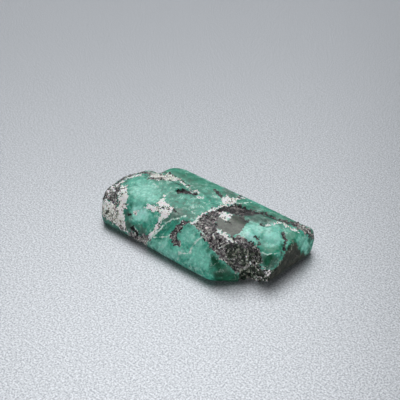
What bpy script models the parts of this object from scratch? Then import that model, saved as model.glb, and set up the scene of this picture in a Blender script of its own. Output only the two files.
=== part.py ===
"""A raw emerald specimen: two stout emerald crystals grown side by side, with dark mica schist and
white feldspar in the hollows between them, lightly tumbled so that every edge is rounded.

It lies on its flattest side. +X runs along the crystals, +Y to the rear crystal and +Z up, and the
origin is at the middle of the footprint. Sizes in the tables below are in millimetres.
"""

import math

import bmesh
import bpy
from mathutils import Matrix, Vector, noise

MM = 0.001

# Each crystal is a block cut by its faces. A face is given by the compass bearing and the upward
# tilt of its outward normal, in degrees, and by its distance from the crystal's centre.
FRONT_CRYSTAL = {
    "centre": (-2.6, -2.1, 4.0),
    "faces": {
        "top": (-100, 87, 4.1),
        "front slope": (-89, 47, 5.8),
        "front side": (-90, 8, 9.75),
        "front foot": (-90, -42, 9.5),
        "rear slope": (88, 56, 5.6),
        "rear side": (90, 15, 8.4),
        "rear foot": (90, -30, 8.4),
        "left shoulder": (180, 66, 9.4),
        "left end": (184, 10, 20.6),
        "left chamfer": (206, 36, 17.1),
        "left foot": (170, -40, 17.5),
        "left front slope": (235, 28, 18.6),
        "left front corner": (220, 2, 18.6),
        "left front foot": (225, -25, 19.5),
        "left rear corner": (138, 22, 16.7),
        "right end": (2, 20, 18.8),
        "right foot": (-5, -35, 18.5),
        "right front slope": (-36, 28, 16.3),
        "right front foot": (-45, -15, 18.1),
        "right shoulder": (0, 50, 15.3),
    },
}
REAR_CRYSTAL = {
    "centre": (5.4, 3.9, 4.0),
    "faces": {
        "top": (30, 86, 3.35),
        "rear slope": (90, 62, 5.3),
        "rear side": (91.5, 15, 7.5),
        "rear foot": (91.5, -40, 7.3),
        "front slope": (-90, 42, 6.3),
        "front side": (-90, 5, 8.9),
        "front foot": (-90, -45, 8.8),
        "right end": (-4, 10, 17.2),
        "right shoulder": (-4, 50, 13.5),
        "right foot": (-6, -45, 15.0),
        "right front corner": (-50, 28, 16.4),
        "right rear slope": (45, 20, 19.1),
        "right rear corner": (22, 0, 19.3),
        "left end": (180, 12, 20.4),
        "left foot": (180, -30, 19.6),
        "left rear corner": (140, 30, 16.3),
    },
}

# Knobs that stand up from the crystals: centre, then half sizes.
KNOBS = {
    "emerald knob": ((17.6, 2.5, 6.2), (3.0, 2.6, 1.9)),
    "quartz knob": ((11.6, 3.5, 6.0), (3.4, 2.6, 1.7)),
    "corner knob": ((20.2, 7.9, 5.0), (2.5, 2.7, 2.1)),
}

# Clefts where soft schist has worn out between crystals: the points that the groove runs through
# and the radius of its round bottom.
CLEFTS = {
    "rear cleft": (((5.4, 4.9, 8.1), (8.8, 6.8, 7.9), (14.4, 8.4, 7.5), (20.2, 9.4, 7.7)), 1.15),
    "feldspar seam": (((-13.4, 3.3, 9.1), (-9.2, 3.5, 8.8), (-5.2, 3.0, 8.7), (-1.0, 2.6, 8.7)), 0.9),
    "mica cleft": (((-6.0, 0.6, 9.0), (-3.0, 2.4, 8.8)), 0.95),
    "end crack": (((19.6, 4.5, 7.2), (21.3, 2.5, 6.9), (22.3, 0.8, 6.3)), 0.6),
}

# Pits in the schist: centre and radius.
PITS = {
    "hollow": ((15.3, -7.2, 7.2), 1.7),
    "front pit": ((0.4, -9.7, 5.9), 0.95),
    "foot pit": ((-6.6, -12.6, 2.5), 0.9),
}

# Ground where schist shows instead of emerald: centre and radius. It is worn lower and is rough.
SCHIST = (
    ((5.2, -2.9, 8.3), 2.4),
    ((9.2, -5.3, 7.6), 2.7),
    ((12.8, -6.7, 6.4), 3.0),
    ((17.0, -5.9, 3.4), 3.0),
    ((5.4, 4.9, 7.4), 1.4),
    ((7.2, 6.0, 7.3), 1.3),
    ((9.2, 7.0, 7.1), 1.4),
    ((11.8, 7.8, 7.0), 1.3),
    ((14.4, 8.4, 6.7), 1.4),
    ((17.2, 8.9, 6.8), 1.3),
    ((20.1, 9.2, 7.0), 1.6),
    ((23.2, 0.7, 2.4), 3.8),
    ((-22.0, -6.7, 5.0), 3.4),
    ((-8.2, -12.1, 2.6), 2.8),
    ((-3.4, 10.1, 4.0), 3.2),
    ((-13.4, 6.1, 5.0), 2.4),
)
SCHIST_WEAR = 0.22
SCHIST_EDGE = 0.9
SCHIST_RAGGEDNESS = 1.1
SCHIST_RAG_SIZE = 2.2
GRAIN_HEIGHT = 0.3
GRAIN_SIZE = 1.2

# The crystal faces aren't quite flat: they swell and dip by this much over this distance.
SWELL_HEIGHT = 0.16
SWELL_SIZE = 5.0

# The crystals' uncut blocks, and how the edges are rounded.
BLANK = 70.0
GRID = 0.55
TUMBLING_FACTOR = 0.5
TUMBLING_PASSES = 7
KEPT_SHARE = 0.32

# Points this near to the base plane are moved onto it, and points this near to each other merged.
BASE_SNAP = 0.15
SHORTEST_EDGE = 0.06


def clear_scene():
    for thing in list(bpy.data.objects):
        bpy.data.objects.remove(thing)


def add_object(name, mesh):
    made = bpy.data.objects.new(name, mesh)
    bpy.context.scene.collection.objects.link(made)
    return made


def direction(bearing, tilt):
    bearing = math.radians(bearing)
    tilt = math.radians(tilt)
    level = math.cos(tilt)
    return Vector((level * math.cos(bearing), level * math.sin(bearing), math.sin(tilt)))


def cut_flat(shape, point, normal):
    """Cut the shape along a plane, drop what lies on the normal's side and close the cut."""
    everything = shape.verts[:] + shape.edges[:] + shape.faces[:]
    cut = bmesh.ops.bisect_plane(
        shape, geom=everything, dist=1e-7, plane_co=point, plane_no=normal, clear_outer=True
    )
    rim = [item for item in cut["geom_cut"] if isinstance(item, bmesh.types.BMEdge)]
    if rim:
        bmesh.ops.holes_fill(shape, edges=rim, sides=0)


def finished_mesh(name, shape):
    bmesh.ops.recalc_face_normals(shape, faces=shape.faces)
    mesh = bpy.data.meshes.new(name)
    shape.to_mesh(mesh)
    shape.free()
    return mesh


def crystal(name, design):
    """A block with a flat cut for each crystal face."""
    centre = Vector(design["centre"]) * MM
    shape = bmesh.new()
    bmesh.ops.create_cube(shape, size=BLANK * MM, matrix=Matrix.Translation(centre))
    for bearing, tilt, distance in design["faces"].values():
        normal = direction(bearing, tilt)
        cut_flat(shape, centre + normal * distance * MM, normal)
    return add_object(name, finished_mesh(name, shape))


def knob(name, centre, half_sizes):
    """A ball stretched to three half sizes."""
    shape = bmesh.new()
    bmesh.ops.create_icosphere(shape, subdivisions=3, radius=1.0)
    bmesh.ops.scale(shape, vec=Vector(half_sizes) * MM, verts=shape.verts)
    bmesh.ops.translate(shape, vec=Vector(centre) * MM, verts=shape.verts)
    return add_object(name, finished_mesh(name, shape))


def round_bar(name, start, end, radius):
    """The hull of two balls of one radius: the tool that wears a groove from start to end."""
    shape = bmesh.new()
    for centre in (start, end):
        place = Matrix.Translation(Vector(centre) * MM)
        bmesh.ops.create_icosphere(shape, subdivisions=2, radius=radius * MM, matrix=place)
    hull = bmesh.ops.convex_hull(shape, input=shape.verts)
    bmesh.ops.delete(shape, geom=list({*hull["geom_interior"], *hull["geom_unused"]}), context="VERTS")
    return add_object(name, finished_mesh(name, shape))


def combine(target, tool, operation):
    """Join the tool to the target or take it away, and leave the tool as a hidden guide."""
    modifier = target.modifiers.new(operation.title(), "BOOLEAN")
    modifier.operation = operation
    modifier.object = tool
    modifier.solver = "EXACT"
    tool.hide_render = True
    tool.display_type = "WIRE"


def settle(target):
    """Replace the target's mesh by what its modifiers make of it."""
    evaluated = target.evaluated_get(bpy.context.evaluated_depsgraph_get())
    mesh = bpy.data.meshes.new_from_object(evaluated)
    target.modifiers.clear()
    target.data = mesh


def grown_stone():
    """Both crystals and their knobs in one body, with the clefts and pits worn out of it."""
    stone = crystal("emerald_crystal", FRONT_CRYSTAL)
    combine(stone, crystal("rear crystal guide", REAR_CRYSTAL), "UNION")
    for name, (centre, half_sizes) in KNOBS.items():
        combine(stone, knob(name + " guide", centre, half_sizes), "UNION")
    for name, (route, radius) in CLEFTS.items():
        for start, end in zip(route, route[1:]):
            combine(stone, round_bar(name + " guide", start, end, radius), "DIFFERENCE")
    for name, (centre, radius) in PITS.items():
        combine(stone, knob(name + " guide", centre, (radius, radius, radius)), "DIFFERENCE")
    settle(stone)
    return stone


def tumble(stone):
    """Lay an even grid over the stone and smooth it, which rounds every edge and cleft."""
    grid = stone.modifiers.new("Even grid", "REMESH")
    grid.mode = "VOXEL"
    grid.voxel_size = GRID * MM
    smooth = stone.modifiers.new("Tumbled", "SMOOTH")
    smooth.factor = TUMBLING_FACTOR
    smooth.iterations = TUMBLING_PASSES
    settle(stone)


def schist_share(point):
    """How far a point lies inside schist ground, from 0 outside to 1 well inside."""
    point = point + SCHIST_RAGGEDNESS * noise.noise_vector(point / SCHIST_RAG_SIZE)
    depth = max(radius - (point - Vector(centre)).length for centre, radius in SCHIST)
    share = min(max(depth / SCHIST_EDGE, 0.0), 1.0)
    return share * share * (3.0 - 2.0 * share)


def roughen(stone):
    """Give the faces their swell, wear the schist lower and leave its grains standing."""
    shape = bmesh.new()
    shape.from_mesh(stone.data)
    shape.normal_update()
    moves = []
    for vertex in shape.verts:
        point = vertex.co / MM
        swell = SWELL_HEIGHT * noise.noise(point / SWELL_SIZE)
        grain = noise.noise(point / GRAIN_SIZE) + 0.5 * noise.noise(point * 2.0 / GRAIN_SIZE)
        ground = schist_share(point) * (GRAIN_HEIGHT * grain - SCHIST_WEAR)
        moves.append(vertex.normal * (swell + ground) * MM)
    for vertex, move in zip(shape.verts, moves):
        vertex.co += move
    shape.to_mesh(stone.data)
    shape.free()


def thin_out(stone):
    """Keep many small faces on the rough ground and few large ones on the crystal faces."""
    fewer = stone.modifiers.new("Fewer faces", "DECIMATE")
    fewer.ratio = KEPT_SHARE
    fewer.use_collapse_triangulate = True
    settle(stone)


def flatten_base(stone):
    """Cut the stone along the plane that it rests on."""
    shape = bmesh.new()
    shape.from_mesh(stone.data)
    for vertex in shape.verts:
        if abs(vertex.co.z) < BASE_SNAP * MM:
            vertex.co.z = 0.0
    cut_flat(shape, Vector((0.0, 0.0, 0.0)), Vector((0.0, 0.0, -1.0)))
    bmesh.ops.remove_doubles(shape, verts=shape.verts, dist=SHORTEST_EDGE * MM)
    bmesh.ops.dissolve_degenerate(shape, edges=shape.edges, dist=SHORTEST_EDGE * MM)
    bmesh.ops.triangulate(shape, faces=shape.faces, ngon_method="BEAUTY")
    stone.data = finished_mesh(stone.name, shape)


def emerald():
    """Milky green beryl with a satin surface."""
    material = bpy.data.materials.new("emerald")
    material.use_nodes = True
    shader = material.node_tree.nodes["Principled BSDF"]
    shader.inputs["Base Color"].default_value = (0.115, 0.365, 0.262, 1.0)
    shader.inputs["Roughness"].default_value = 0.38
    shader.inputs["Metallic"].default_value = 0.0
    shader.inputs["IOR"].default_value = 1.58
    return material


def remove_guides(kept):
    for thing in list(bpy.data.objects):
        if thing is not kept:
            bpy.data.objects.remove(thing)


def main():
    clear_scene()
    stone = grown_stone()
    remove_guides(stone)
    tumble(stone)
    roughen(stone)
    thin_out(stone)
    flatten_base(stone)
    stone.data.shade_smooth()
    stone.data.materials.append(emerald())


main()
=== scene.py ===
# Raw emerald specimen: two emerald crystals grown together with mica schist, feldspar and quartz.
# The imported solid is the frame. This script lays the finished surface over it, sorts that surface
# into its minerals, sets small grains in the schist and puts the stone on a pale floor.

import math

import bpy
import numpy as np
from mathutils import Matrix


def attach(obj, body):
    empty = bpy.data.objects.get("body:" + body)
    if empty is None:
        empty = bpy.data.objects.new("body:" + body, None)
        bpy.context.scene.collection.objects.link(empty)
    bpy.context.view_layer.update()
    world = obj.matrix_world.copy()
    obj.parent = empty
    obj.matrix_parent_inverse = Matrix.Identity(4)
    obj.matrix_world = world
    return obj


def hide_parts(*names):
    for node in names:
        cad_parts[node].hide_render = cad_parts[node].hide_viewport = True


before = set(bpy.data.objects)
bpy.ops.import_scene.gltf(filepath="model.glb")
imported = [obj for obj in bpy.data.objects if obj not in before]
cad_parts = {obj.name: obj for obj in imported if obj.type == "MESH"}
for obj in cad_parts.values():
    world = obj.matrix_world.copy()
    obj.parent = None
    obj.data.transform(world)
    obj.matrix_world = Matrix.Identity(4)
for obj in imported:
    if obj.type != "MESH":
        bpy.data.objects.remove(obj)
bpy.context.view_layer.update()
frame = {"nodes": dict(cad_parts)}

mm = 0.001

print("frame loaded:", ", ".join(frame["nodes"]))


# The camera, and where a pixel of the photograph lies on the stone

photo = {
    "pixels": 400,               # the photograph is square
    "elevation": 35.0,           # degrees, camera above the floor
    "azimuth": 40.5,             # degrees, camera round to the right of the front
    "focal": 780.0,              # pixels
    "mmPerPixel": 0.22,          # at the aim point
    "aim": (2.45, -0.1, 3.0),    # mm, a point inside the stone
    "aimPixel": (207.0, 226.0),  # where the photograph shows that point
    "sensor": 36.0,              # mm
    "clip": (0.005, 10.0),       # m
}


def cameraAxes():
    # right, up and forward unit vectors of a level camera at that azimuth and elevation
    azimuth = math.radians(photo["azimuth"])
    elevation = math.radians(photo["elevation"])
    right = np.array([math.cos(azimuth), math.sin(azimuth), 0.0])
    ahead = np.array([-math.sin(azimuth), math.cos(azimuth), 0.0])
    forward = math.cos(elevation) * ahead - math.sin(elevation) * np.array([0.0, 0.0, 1.0])
    return right, np.cross(right, forward), forward


def pixelRays(pixels):
    # direction through each pixel = forward + sideways and upward shares of the focal length
    right, up, forward = cameraAxes()
    offset = (np.atleast_2d(pixels) - photo["pixels"] / 2) / photo["focal"]
    return forward + offset[:, :1] * right - offset[:, 1:] * up


def cameraPlace():
    # from the aim point, back along its own ray, as far as the scale in mm per pixel says
    ray = pixelRays(photo["aimPixel"])[0]
    return np.array(photo["aim"]) - ray * photo["focal"] * photo["mmPerPixel"]


def toPixels(points):
    # pixel = centre + focal length * sideways or downward offset / depth
    right, up, forward = cameraAxes()
    away = points - cameraPlace()
    depth = away @ forward
    half = photo["pixels"] / 2
    return np.stack([half + photo["focal"] * (away @ right) / depth,
                     half - photo["focal"] * (away @ up) / depth], axis=1)


def makeCamera():
    # focal length in mm = focal length in pixels * sensor width / picture width
    right, up, forward = cameraAxes()
    data = bpy.data.cameras.new("camera")
    data.sensor_width = photo["sensor"]
    data.lens = photo["focal"] / photo["pixels"] * photo["sensor"]
    data.clip_start, data.clip_end = photo["clip"]
    camera = bpy.data.objects.new("camera", data)
    turn = Matrix([list(row) for row in np.stack([right, up, -forward], axis=1)]).to_4x4()
    camera.matrix_world = Matrix.Translation(cameraPlace() * mm) @ turn
    bpy.context.scene.collection.objects.link(camera)
    bpy.context.scene.camera = camera


makeCamera()
print("camera placed")


# The body of the stone, as a field: negative inside, positive outside, in mm

# A face is the compass bearing and upward tilt of its outward normal, in degrees, and its
# distance from the crystal's centre, in mm.
frontCrystal = {
    "centre": (-2.6, -2.1, 4.0),
    "faces": [
        (-100, 87, 4.1),   # top
        (-89, 47, 5.8),    # front slope
        (-90, 8, 9.75),    # front side
        (-90, -42, 9.5),   # front foot
        (88, 56, 5.6),     # rear slope
        (90, 15, 8.4),     # rear side
        (90, -30, 8.4),    # rear foot
        (180, 66, 9.4),    # left shoulder
        (184, 10, 20.85),  # left end
        (206, 36, 17.1),   # left chamfer
        (170, -42, 16.6),  # left foot
        (235, 28, 18.6),   # left front slope
        (220, 2, 18.8),    # left front corner
        (225, -28, 18.3),  # left front foot
        (138, 22, 16.7),   # left rear corner
        (2, 20, 18.8),     # right end
        (-5, -35, 18.5),   # right foot
        (-36, 28, 16.3),   # right front slope
        (-45, -15, 18.1),  # right front foot
        (0, 50, 15.3),     # right shoulder
    ],
}
rearCrystal = {
    "centre": (5.4, 3.9, 4.0),
    "faces": [
        (30, 86, 3.35),      # top
        (90, 62, 5.3),       # rear slope
        (91.5, 15, 7.5),     # rear side
        (91.5, -40, 7.3),    # rear foot
        (-90, 42, 6.3),      # front slope
        (-90, 5, 8.9),       # front side
        (-90, -45, 8.8),     # front foot
        (-4, 10, 17.2),      # right end
        (-4, 50, 13.5),      # right shoulder
        (-6, -45, 15.0),     # right foot
        (-50, 28, 16.4),     # right front corner
        (45, 20, 18.75),     # right rear slope
        (22, 0, 19.3),       # right rear corner
        (180, 12, 20.4),     # left end
        (180, -30, 19.6),    # left foot
        (140, 30, 17.3),     # left rear corner
    ],
}

# Round-bottomed wear between the crystals: the points it runs through and its radius.
worn = {
    "rear cleft": ([(5.4, 4.9, 8.1), (8.8, 6.8, 7.9), (14.4, 8.4, 7.5), (20.2, 9.4, 7.7)], 1.15),
    "feldspar seam": ([(-13.4, 3.3, 9.1), (-9.2, 3.5, 8.8), (-5.2, 3.0, 8.7), (-1.0, 2.6, 8.7)], 0.9),
    "mica cleft": ([(-6.0, 0.6, 9.0), (-3.0, 2.4, 8.8)], 0.95),
    "end crack": ([(19.6, 4.5, 7.2), (21.3, 2.5, 6.9), (22.3, 0.8, 6.3)], 0.6),
    "hollow": ([(15.3, -7.2, 7.2), (15.4, -7.2, 7.2)], 1.7),
    "front pit": ([(0.4, -9.7, 5.9), (0.5, -9.7, 5.9)], 0.95),
    "foot pit": ([(-6.6, -12.6, 2.5), (-6.5, -12.6, 2.5)], 0.9),
}

# Knobs that stand up from the crystals: centre, then half sizes.
knobs = {
    "emerald knob": ((17.6, 2.5, 6.2), (3.0, 2.6, 1.9)),
    "quartz knob": ((11.6, 3.5, 6.0), (3.4, 2.6, 1.7)),
    "corner knob": ((20.2, 7.9, 5.0), (2.5, 2.7, 2.1)),
}

rounding = {
    "faces": 1.1,   # mm, how far an edge between two faces is worn round
    "join": 1.2,    # where the two crystals meet
    "knobs": 0.9,
    "wear": 0.6,    # lips of the worn places
    "base": 0.5,    # the foot curls in a little under the stone
}


def unitVector(bearing, tilt):
    # level part = cosine of the tilt, along the bearing; upward part = sine of the tilt
    bearing = math.radians(bearing)
    tilt = math.radians(tilt)
    level = math.cos(tilt)
    return np.array([level * math.cos(bearing), level * math.sin(bearing), math.sin(tilt)])


def smoothMax(a, b, reach):
    # the larger one, raised by a parabola where the two differ by less than the reach
    near = np.maximum(reach - np.abs(a - b), 0.0) / reach
    return np.maximum(a, b) + near * near * reach * 0.25


def smoothMin(a, b, reach):
    # the smaller one, lowered in the same way
    return -smoothMax(-a, -b, reach)


def crystalField(points, crystal):
    # the furthest out of all the faces, with the edges between them worn round
    away = points - np.array(crystal["centre"])
    field = None
    for bearing, tilt, distance in crystal["faces"]:
        face = away @ unitVector(bearing, tilt) - distance
        field = face if field is None else smoothMax(field, face, rounding["faces"])
    return field


def lineDistance(points, start, end):
    # distance to the nearest point of a straight piece from start to end
    start = np.array(start, float)
    along = np.array(end, float) - start
    share = np.clip((points - start) @ along / (along @ along), 0.0, 1.0)
    return np.linalg.norm(points - start - share[:, None] * along, axis=1)


def eggDepth(points, centre, reach):
    # how deep a point lies in a ball that is stretched to three half sizes, negative outside
    scaled = (points - np.array(centre)) / np.array(reach)
    return (1.0 - np.linalg.norm(scaled, axis=1)) * min(reach)


def stoneField(points):
    # both crystals joined, knobs added, worn places taken away, and cut flat at the base
    field = smoothMin(crystalField(points, frontCrystal), crystalField(points, rearCrystal),
                      rounding["join"])
    for centre, reach in knobs.values():
        field = smoothMin(field, -eggDepth(points, centre, reach), rounding["knobs"])
    for route, radius in worn.values():
        for start, end in zip(route, route[1:]):
            tool = lineDistance(points, start, end) - radius
            field = smoothMax(field, -tool, rounding["wear"])
    return smoothMax(field, -points[:, 2], rounding["base"])


def slopeOf(points):
    # unit gradient of the field, from small steps along each axis
    step = 0.04  # mm
    slope = np.empty_like(points)
    for axis in range(3):
        shift = np.zeros(3)
        shift[axis] = step
        slope[:, axis] = stoneField(points + shift) - stoneField(points - shift)
    return slope / np.linalg.norm(slope, axis=1, keepdims=True)


# Random patterns on whole arrays of points

def cellRandom(cells, salt):
    # whole-number cells to an even spread from 0 to 1, by multiplying and folding the bits
    bits = (cells + 4096).astype(np.uint64)  # no cell number is negative then
    mixed = bits[:, 0] * np.uint64(73856093) ^ bits[:, 1] * np.uint64(19349663)
    mixed = mixed ^ bits[:, 2] * np.uint64(83492791) ^ np.uint64(salt * 26544357)
    for fold, factor in ((15, 2246822519), (13, 3266489917), (16, 668265263)):
        mixed = mixed & np.uint64(0xFFFFFFFF)
        mixed = (mixed ^ (mixed >> np.uint64(fold))) * np.uint64(factor)
    return (mixed & np.uint64(0xFFFFFFFF)).astype(float) / 0xFFFFFFFF


def hills(points, size, salt):
    # a random value at each corner of a cubic lattice, blended smoothly between, from -1 to 1
    scaled = points / size
    cells = np.floor(scaled)
    share = scaled - cells
    share = share * share * (3.0 - 2.0 * share)
    total = np.zeros(len(points))
    for corner in range(8):
        step = np.array([corner & 1, corner >> 1 & 1, corner >> 2 & 1])
        weight = np.prod(np.where(step == 1, share, 1.0 - share), axis=1)
        total += weight * cellRandom(cells + step, salt)
    return 2.0 * total - 1.0


def grains(points, size, salt):
    # one grain centre jittered in each lattice cell: distance to the nearest, and its random value
    scaled = points / size
    cells = np.floor(scaled)
    nearest = np.full(len(points), 9.0)
    value = np.zeros(len(points))
    for number in range(27):
        cell = cells + np.array([number % 3 - 1, number // 3 % 3 - 1, number // 9 - 1])
        jitter = np.stack([cellRandom(cell, salt + axis) for axis in range(3)], axis=1)
        distance = np.linalg.norm(scaled - cell - jitter, axis=1)
        closer = distance < nearest
        nearest = np.where(closer, distance, nearest)
        value = np.where(closer, cellRandom(cell, salt + 3), value)
    return nearest, value


# Where each mineral shows. Outlines and lines are in the photograph's pixels, column then row.
# Each one goes into the stone along the line of sight and tapers off with depth, so it lies on
# the surface from every side.

seenPatches = {
    "feldspar": [
        # left end facet
        [(126.7, 185), (126.9, 196), (126.6, 208), (123.4, 210.5), (124.3, 218), (124.4, 225),
         (127.4, 233.5), (118.5, 227.8), (109.5, 221), (103.4, 215.3), (100, 210.5), (100, 203),
         (103, 200), (108, 199.5), (112, 201.5), (114.5, 207), (117.5, 206.5), (117.8, 200),
         (117.2, 194.5), (119, 190), (121.5, 185.5)],
        # star on the top face
        [(143.6, 207.3), (146, 205.2), (148.5, 204.2), (151, 205.8), (153, 204.8), (156, 205.6),
         (158.8, 206.2), (157.3, 202.6), (159.8, 199.2), (162.5, 197.6), (163.8, 194),
         (165, 196.5), (164.5, 200.8), (167.2, 203), (169.4, 204.8), (171.8, 206), (173.6, 207.6),
         (171.8, 210), (169.6, 213.2), (167.6, 215.6), (166, 218), (162.8, 218.3), (160.5, 219.6),
         (159.8, 217), (161.5, 214.6), (158.5, 213.6), (155, 212.2), (151.5, 211.2), (147.8, 209.2)],
        # rear edge
        [(221.8, 199), (224, 196.5), (227.5, 194.6), (231, 197), (234, 197.8), (237.5, 198.5),
         (236, 201.5), (233.5, 203.8), (229, 205), (225, 205.6), (223, 202)],
        # beside the quartz
        [(219, 212.5), (222.4, 211.1), (226.4, 211.1), (227.7, 213.8), (232.4, 214.5),
         (230.4, 217.8), (227.7, 219.8), (223.7, 219.2), (221, 215.8)],
    ],
    "schist": [
        # between the crystals
        [(195, 222), (199.4, 217), (204, 213.6), (208, 211.6), (212, 209.6), (216.6, 209.4),
         (219, 211), (219, 216), (217, 221), (216, 226), (218, 230.6), (223.5, 233.8),
         (229, 236.8), (233, 236), (238, 234.4), (245, 238.6), (252.5, 242.8), (258, 247),
         (261.8, 252.4), (262, 262), (258, 271), (256.5, 279), (250, 278), (243.4, 276.4),
         (237, 273.4), (229.5, 266.8), (223.3, 261), (216.5, 255), (211, 249), (209, 243.6),
         (203.5, 238.2), (199, 232), (195.4, 225.6)],
        # upper left of the end facet
        [(100, 192), (108, 187), (113, 184), (118, 182), (121, 185), (119, 190), (117, 195),
         (117.8, 206), (114.5, 207.5), (111.5, 201), (107, 199.5), (100, 200)],
        # front foot, left
        [(133, 231), (137, 235), (140, 236.5), (149, 234), (149.5, 238), (147, 242),
         (145, 248), (138, 246), (131, 242), (126, 238), (127.5, 234)],
        # under the green lobe's tip
        [(171.5, 236), (178, 237.5), (180.4, 243), (177.6, 247.4), (172, 245.5)],
        # rear right corner
        [(294, 220), (303, 221), (309, 226), (313.5, 232), (316, 240), (311, 238.5), (306, 234),
         (301, 230), (296, 226)],
        # front lower corner of the right end
        [(256, 268), (263, 270), (271, 271.5), (273, 276), (268, 284), (262, 286), (256, 282)],
    ],
    "chlorite": [
        [(226, 246), (232, 243), (240, 245), (248, 247), (256, 251), (261, 256), (261, 264),
         (257, 274), (250, 279), (243, 277), (236, 272), (229, 264), (226, 256)],
        # right end face
        [(295.5, 243), (299, 250), (303, 255), (309, 256.4), (303, 264), (290, 276), (272, 287),
         (261, 287), (256, 281), (256.4, 276.6), (265, 274.6), (271, 271), (276, 266),
         (279.8, 260), (283, 253), (289, 248.4)],
    ],
    "quartz": [
        [(214, 213), (219, 212), (222, 217), (226, 219), (224, 224), (217, 226), (214, 219)],
        [(216.3, 222.5), (221.7, 221), (227, 221), (232.4, 216), (237.1, 214.5), (243.8, 216),
         (246.5, 219.8), (245.8, 225.2), (241.8, 229.9), (237.1, 233.2), (231, 235.4),
         (223.7, 231.4), (217.7, 228)],
    ],
    "mica": [
        # rear cleft: dark mica, and painted shade in the cleft under the rear strip
        [(215.4, 210.4), (219, 207.6), (224, 205.8), (228.4, 204.6), (235, 203.8), (241, 205.2), (247, 208),
         (253, 209.9), (259, 210.9), (265, 212.2), (272, 214.8), (279, 218), (288.7, 220.6),
         (297, 222.6), (304, 227), (300, 227.5), (293, 225), (285, 222.5), (276, 219.4),
         (266, 215.6), (258, 213.6), (252, 215), (246, 216), (240, 215.8), (235, 214.6),
         (230, 213), (225, 211.4), (219.6, 213.4)],
    ],
    "teal_and_painted_shade": [
        # strip along the rear, darker teal: partly painted shade where the strip slopes away from the light
        [(166, 171), (172, 167), (179, 165.6), (188, 169), (205, 178.6), (222, 188), (243, 198),
         (262, 206.6), (285, 216), (303, 222.6), (300, 224.6), (285, 220), (262, 212), (246, 207),
         (236, 202), (226, 196), (214, 190), (204, 188), (194, 184), (184, 178), (174, 174)],
        # top of the right end, darker teal: painted shade
        [(286, 230), (296, 229), (301, 236), (299, 246), (292, 250), (287.6, 243)],
        # emerald knob, lower part, deeper green: partly painted shade below its lit top
        [(265, 245), (272, 246.4), (280, 244), (283, 241), (284, 249), (280, 252), (272, 253.4),
         (265, 251)],
    ],
    "dull_and_painted_shade": [
        # above the front foot, dark grey green: painted shade
        [(136, 226), (142, 224.6), (147, 228), (147, 233), (141, 236), (137, 232)],
        # beside the end facet's right edge, dark grey green: painted shade
        [(123.6, 210), (128, 212), (133, 214), (134, 219), (131, 222), (133, 226), (134, 231),
         (128, 233), (125, 226), (124, 218)],
        # beside the star
        [(173.5, 208), (177, 211), (182, 213), (178, 216.5), (172, 218), (166, 221),
         (164, 219.5), (168, 216.5), (171, 212)],
        # between the rear cleft and the knobs
        [(246, 216.5), (252, 215.5), (258, 214.3), (266, 216.4), (275, 219.8), (281, 221.8),
         (276, 222.6), (268, 223.6), (262, 223.6), (255, 223), (248, 222.5)],
        # right end, below the knob, grey green: painted shade on the steep face there
        [(262, 256), (270, 256), (279, 255), (280, 260), (277.5, 266), (272, 271), (264, 271),
         (262, 262)],
        # rear edge
        [(221, 188), (226, 188), (233, 191), (240, 194.6), (243, 196), (238, 198), (231, 194),
         (225, 192)],
    ],
    "deep": [
        # front bulge, right of its ridge, dark green: painted shade where the face turns away from the
        # light
        [(208.6, 247), (212, 253), (219, 259), (226, 265), (233, 271), (241, 277), (232, 284),
         (222, 286), (214, 283), (210, 278), (212, 270), (209, 260)],
        # right end, below the emerald knob, dark green: painted shade
        [(261, 256), (279, 254.6), (279, 260), (273, 264), (264, 263)],
    ],
    "milky_and_painted_light": [
        # corner of the right end
        [(300.6, 241), (304, 238), (309, 239), (312, 243), (311, 248), (306, 252), (302, 250),
         (300, 246)],
        # bright part of the top face: painted light where the top catches the light
        [(130, 186), (140, 182), (152, 184), (158, 190), (157, 200), (148, 203), (138, 203),
         (131, 198)],
        # green lobe between the schist
        [(184, 228), (190, 225.4), (196, 228), (199, 233), (197, 240), (192, 245), (186, 244),
         (182, 238), (181.6, 232)],
        # foot below the long vein, lightened: painted light on a front face
        [(151, 241), (158, 240.6), (166, 241), (171, 246), (177, 249), (178, 258), (173, 261),
         (165, 257), (157, 251), (151, 246)],
        # front bulge, lightened: painted light on the front face
        [(180, 250), (188, 251), (194, 246), (199, 241), (204, 244), (208, 252), (208, 262),
         (203, 268), (195, 266), (187, 261), (181, 256)],
        # left of the right-hand knobs
        [(246, 226), (252, 224.6), (257, 226), (258, 231), (254, 235), (248, 233)],
    ],
    "pale_and_painted_highlight": [
        # quartz knob, its pale top: painted highlight
        [(246, 223.4), (252, 222.4), (258, 223.6), (262, 225.4), (262.5, 230), (261, 236),
         (256, 239), (250, 240), (245, 237), (241.5, 232), (243, 227)],
        # low on the top face: painted highlight where the top face is lit
        [(131, 206), (137, 204), (142, 208), (146, 213), (148, 219), (140, 220), (133, 217)],
        # emerald knob, upper part: painted highlight on its lit top
        [(264, 231), (270, 228.6), (277, 229.6), (281.6, 233), (282, 238), (278, 241),
         (272, 242), (266, 241), (263.4, 237)],
    ],
    "gritty": [
        # left end facet, its lower half and its middle
        [(100, 203), (106, 203), (111, 205), (115, 208.6), (119.4, 210), (121, 216), (122.6, 224),
         (125.6, 231), (118.5, 227.8), (109.5, 221), (103.4, 215.3), (99, 210.5)],
        # seam along the rear of the top face
        [(148, 171.4), (155, 172.2), (162, 173.6), (168, 173.8), (174, 176.4), (179, 180),
         (174, 179.8), (167, 178.8), (158, 177.6), (150, 175)],
        # front foot, left
        [(137, 240), (142, 238.6), (147, 240), (145, 246), (140, 246)],
    ],
    "stain": [
        # right end face
        [(296, 244.6), (299.6, 250), (303, 254), (308, 256), (300, 264), (288, 274), (277, 282),
         (271, 281), (270, 276.6), (273, 273), (277, 268), (281, 261.6), (285, 254.6),
         (290, 249.6)],
    ],
}

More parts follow.
